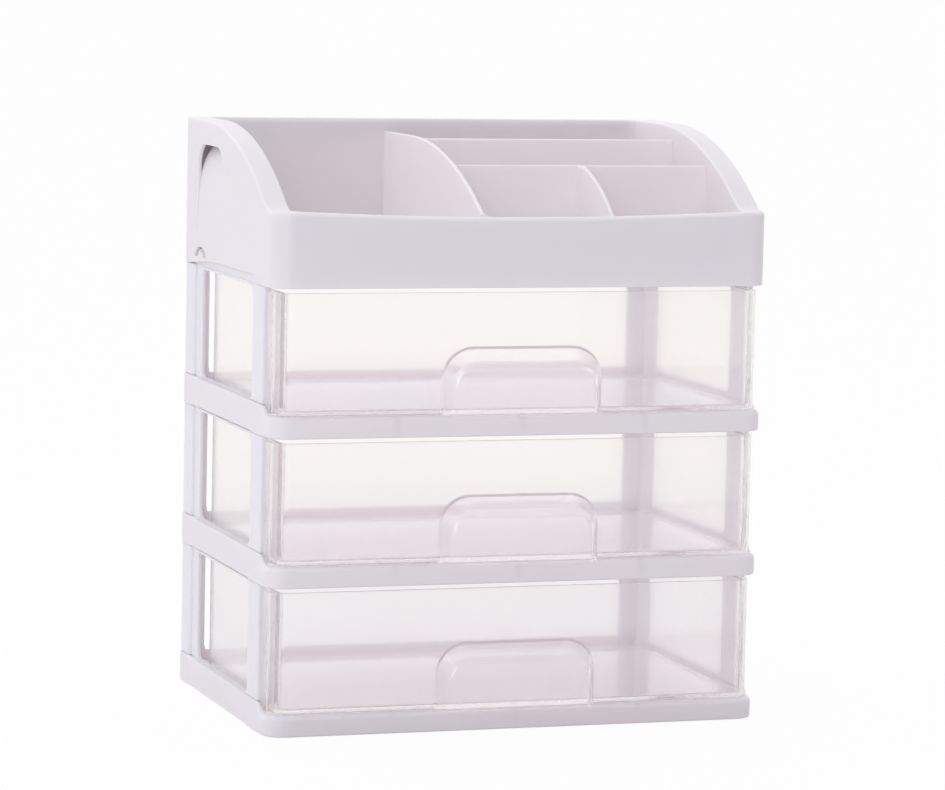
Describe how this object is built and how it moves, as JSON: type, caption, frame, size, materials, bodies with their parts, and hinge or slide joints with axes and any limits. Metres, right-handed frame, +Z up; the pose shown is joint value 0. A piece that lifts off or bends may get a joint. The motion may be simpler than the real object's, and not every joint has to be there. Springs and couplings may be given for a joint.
{
  "type": "makeup organizer",
  "caption": "Desktop makeup organizer: an open tray with compartments and side grips on a windowed white frame that holds a stack of clear sliding drawers with arched pulls.",
  "frame": {"origin": "middle of the footprint, drawer pulls included, on the surface that the foot pads stand on", "axes": "+X to the right as seen from the front, +Y to the back, +Z up; the drawers open towards -Y"},
  "size_m": [0.29, 0.1976, 0.333],
  "materials": {
    "white_plastic": "satin moulded white",
    "clear_plastic": "polished clear",
    "foot_pad": "matte"
  },
  "bodies": {
    "frame": {"foot_pad_front_left": "foot_pad", "foot_pad_front_right": "foot_pad", "foot_pad_rear_left": "foot_pad", "foot_pad_rear_right": "foot_pad", "shelf_bottom": "white_plastic", "side_frame_left_bottom": "white_plastic", "side_frame_right_bottom": "white_plastic", "shelf_middle": "white_plastic", "side_frame_left_middle": "white_plastic", "side_frame_right_middle": "white_plastic", "shelf_top": "white_plastic", "side_frame_left_top": "white_plastic", "side_frame_right_top": "white_plastic", "top_tray": "white_plastic"},
    "drawer_bottom": {"drawer_bottom": "clear_plastic"},
    "drawer_middle": {"drawer_middle": "clear_plastic"},
    "drawer_top": {"drawer_top": "clear_plastic"}
  },
  "joints": [
    {"name": "drawer_bottom_slide", "type": "slide", "parent": "frame", "child": "drawer_bottom", "axis": [0, -1, 0], "range_m": [0, 0.11]},
    {"name": "drawer_middle_slide", "type": "slide", "parent": "frame", "child": "drawer_middle", "axis": [0, -1, 0], "range_m": [0, 0.11]},
    {"name": "drawer_top_slide", "type": "slide", "parent": "frame", "child": "drawer_top", "axis": [0, -1, 0], "range_m": [0, 0.11]}
  ]
}
